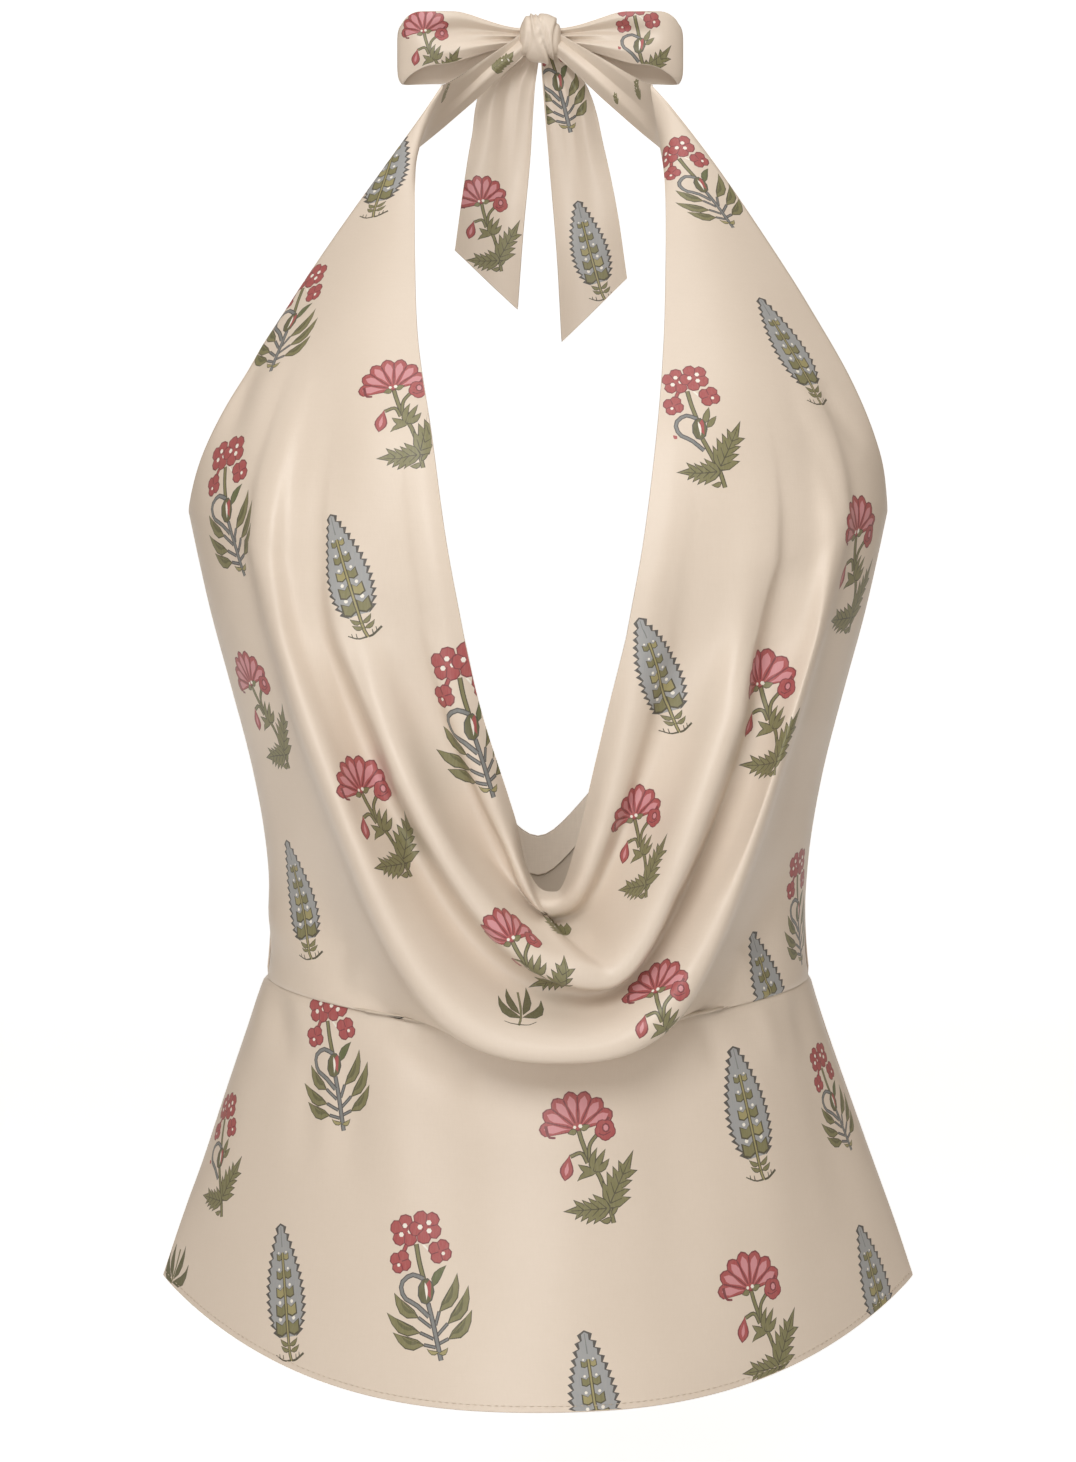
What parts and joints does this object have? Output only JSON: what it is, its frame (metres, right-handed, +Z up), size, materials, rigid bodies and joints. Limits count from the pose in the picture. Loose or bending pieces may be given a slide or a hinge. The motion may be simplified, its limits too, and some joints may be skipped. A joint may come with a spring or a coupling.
{
  "type": "halter neck top",
  "caption": "Satin halter neck top with a draped cowl front, low V back, flared peplum and a bow tied at the nape.",
  "frame": {"origin": "at the nape, on the side of the bow's knot that lies against the neck, where the wearer's neck holds the top", "axes": "+X to the viewer's right seen from the front, +Y towards the wearer's back, +Z up"},
  "size_m": [0.332, 0.2449, 0.6006],
  "materials": {
    "satin": "soft satin with a scattered flower print",
    "satin_inside": "plain inside of the satin"
  },
  "bodies": {
    "root": {"front_bodice": "satin", "back_bodice": "satin", "back_facing": "satin_inside", "front_peplum": "satin", "back_peplum": "satin", "neck_tie_left": "satin", "neck_tie_right": "satin", "bow_loop_left": "satin", "bow_loop_right": "satin", "bow_knot": "satin", "bow_tail_left": "satin", "bow_tail_right": "satin"}
  },
  "joints": []
}
